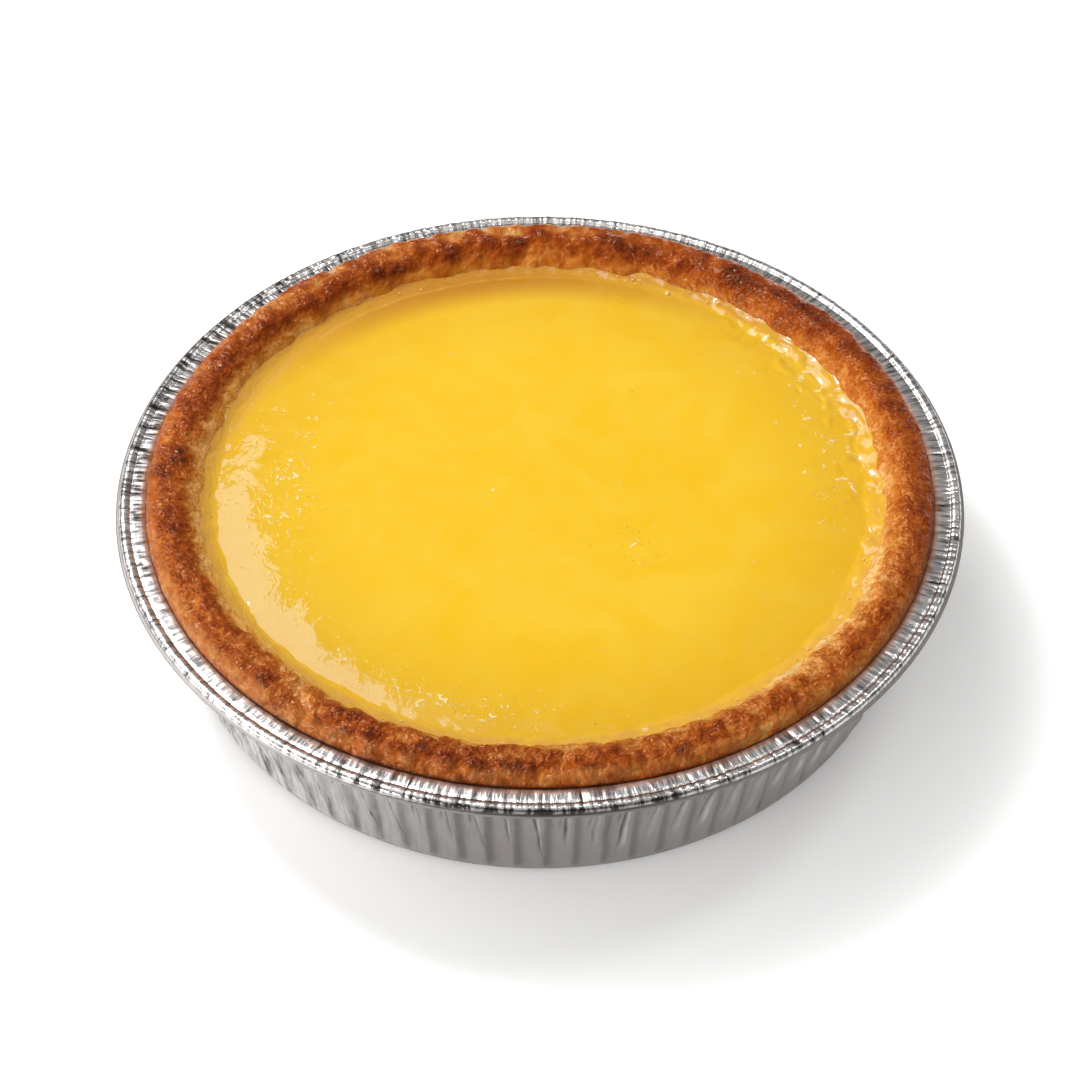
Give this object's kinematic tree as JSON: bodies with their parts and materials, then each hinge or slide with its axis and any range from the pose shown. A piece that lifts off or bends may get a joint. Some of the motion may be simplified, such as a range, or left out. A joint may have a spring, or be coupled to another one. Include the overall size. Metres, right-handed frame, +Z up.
{
  "type": "lemon tart in foil dish",
  "caption": "Round open lemon tart: glossy lemon filling in a browned shortcrust case, standing in the pleated foil dish it was baked in.",
  "frame": {"origin": "centre of the foil dish's flat base, on the surface the tart stands on", "axes": "+Z up out of the filling; X and Y in the base plane, with -Y the side seen from the front"},
  "size_m": [0.21, 0.21, 0.0455],
  "materials": {
    "foil": "thin bright foil, pleated wall, finely crimped ledge and rolled edge",
    "crust": "baked shortcrust, golden to dark brown, rough on top, stands in as a matte solid",
    "lemon_filling": "set lemon filling, smooth and wet, stands in as a glossy solid"
  },
  "bodies": {
    "root": {"foil_dish": "foil", "pastry_case": "crust", "lemon_filling": "lemon_filling"}
  },
  "joints": []
}
